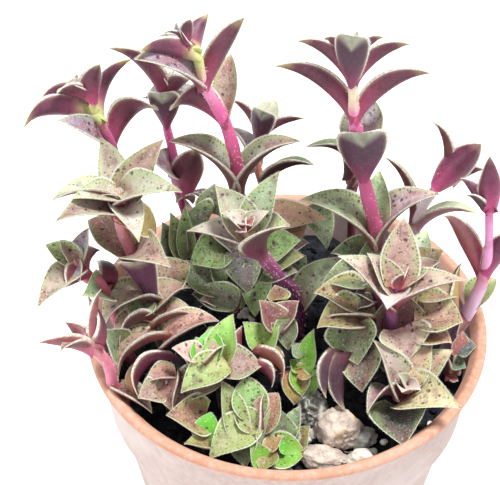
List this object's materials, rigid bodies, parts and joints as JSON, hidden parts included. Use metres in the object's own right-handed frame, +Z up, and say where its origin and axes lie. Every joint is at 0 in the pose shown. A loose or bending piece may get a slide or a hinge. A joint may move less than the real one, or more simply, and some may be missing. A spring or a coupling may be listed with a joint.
{
  "type": "potted crassula",
  "caption": "Crassula with many leafy spotted shoots and young rosettes, growing with loose stones in a small clay pot",
  "frame": {"origin": "centre of the pot's flat base, on the surface it rests on", "axes": "+X to the right of the view, +Y away from the viewer, +Z up along the pot's axis"},
  "size_m": [0.1018, 0.09, 0.1519],
  "materials": {
    "clay": "matte",
    "soil": "matte",
    "stone": "matte",
    "bark": "matte",
    "stem": "satin",
    "leaf": "satin"
  },
  "bodies": {
    "root": {"bark_grey": "bark", "leaves_a_head": "leaf", "leaves_a_pair": "leaf", "leaves_b_base": "leaf", "leaves_b_head": "leaf", "leaves_b_pair": "leaf", "leaves_c_head": "leaf", "leaves_c_pair": "leaf", "leaves_d_head": "leaf", "leaves_d_pair1": "leaf", "leaves_d_pair2": "leaf", "leaves_e_head": "leaf", "leaves_e_pair": "leaf", "leaves_f_head": "leaf", "leaves_f_pair1": "leaf", "leaves_f_pair2": "leaf", "leaves_f_pair3": "leaf", "leaves_g_head": "leaf", "leaves_h_head": "leaf", "leaves_h_pair": "leaf", "leaves_i_head": "leaf", "leaves_i_low": "leaf", "leaves_i_pair": "leaf", "leaves_j_lower": "leaf", "leaves_j_upper": "leaf", "leaves_k_head": "leaf", "leaves_l_head": "leaf", "leaves_m_lower": "leaf", "leaves_m_upper": "leaf", "leaves_n_leaves": "leaf", "leaves_o_leaves": "leaf", "leaves_p_leaves": "leaf", "leaves_q_leaves": "leaf", "leaves_r_head": "leaf", "leaves_s_head": "leaf", "leaves_t_lower": "leaf", "leaves_t_upper": "leaf", "leaves_u_head": "leaf", "leaves_u_pair": "leaf", "leaves_v_leaves": "leaf", "leaves_w_leaves": "leaf", "leaves_x_leaves": "leaf", "pot": "clay", "soil": "soil", "stem_a": "stem", "stem_b": "stem", "stem_c": "stem", "stem_d": "stem", "stem_e": "stem", "stem_f": "stem", "stem_g": "stem", "stem_h": "stem", "stem_i": "stem", "stem_r": "stem", "stem_s": "stem", "stem_u": "stem", "stone_front": "stone", "stone_grey": "stone", "stone_tan": "stone", "stone_white": "stone"}
  },
  "joints": []
}
